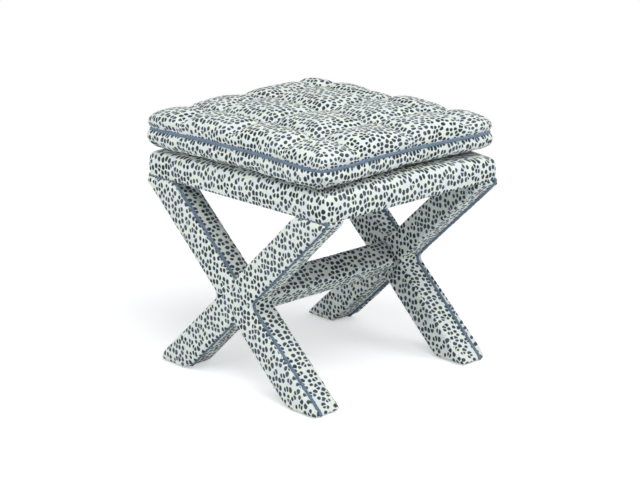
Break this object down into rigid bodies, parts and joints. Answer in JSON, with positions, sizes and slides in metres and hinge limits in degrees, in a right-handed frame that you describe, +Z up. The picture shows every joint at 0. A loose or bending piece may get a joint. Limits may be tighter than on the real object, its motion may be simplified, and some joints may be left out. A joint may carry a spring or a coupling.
{
  "type": "tufted ottoman",
  "caption": "Upholstered ottoman: a tufted, welted cushion on a covered deck, carried by crossed-leg frames joined by a stretcher.",
  "frame": {"origin": "on the floor, under the middle of the ottoman", "axes": "+Z up, +X along the stretcher from one crossed frame to the other, +Y across the crossed legs"},
  "size_m": [0.476, 0.5158, 0.53],
  "materials": {
    "printed_cloth": "pale printed upholstery cloth with small dark spots",
    "welt_cloth": "slate blue cloth-covered cord",
    "foam": "open-cell upholstery foam",
    "hardwood": "planed, unfinished",
    "plywood": "sanded, unfinished",
    "zinc_steel": "zinc plated",
    "dust_cloth": "black non-woven cloth",
    "twine": "waxed upholstery twine",
    "glide_plastic": "moulded, matt"
  },
  "bodies": {
    "root": {"cushion_top_cover": "printed_cloth", "cushion_base_cover": "printed_cloth", "cushion_welt": "welt_cloth", "cushion_fill": "foam", "tuft_ties": "twine", "tuft_tabs": "plywood", "deck_cover": "printed_cloth", "deck_foam": "foam", "deck_board": "plywood", "left_rail": "hardwood", "right_rail": "hardwood", "front_rail": "hardwood", "back_rail": "hardwood", "corner_blocks": "hardwood", "board_screws": "zinc_steel", "dust_cover": "dust_cloth", "frame_lag_screws": "zinc_steel", "left_through_bar": "hardwood", "left_lapped_bar": "hardwood", "left_through_foam": "foam", "left_upper_foam": "foam", "left_lower_foam": "foam", "left_through_cover": "printed_cloth", "left_upper_cover": "printed_cloth", "left_lower_cover": "printed_cloth", "left_frame_welt": "welt_cloth", "right_through_bar": "hardwood", "right_lapped_bar": "hardwood", "right_through_foam": "foam", "right_upper_foam": "foam", "right_lower_foam": "foam", "right_through_cover": "printed_cloth", "right_upper_cover": "printed_cloth", "right_lower_cover": "printed_cloth", "right_frame_welt": "welt_cloth", "stretcher_core": "hardwood", "stretcher_foam": "foam", "stretcher_cover": "printed_cloth", "stretcher_screws": "zinc_steel", "foot_glides": "glide_plastic"}
  },
  "joints": []
}
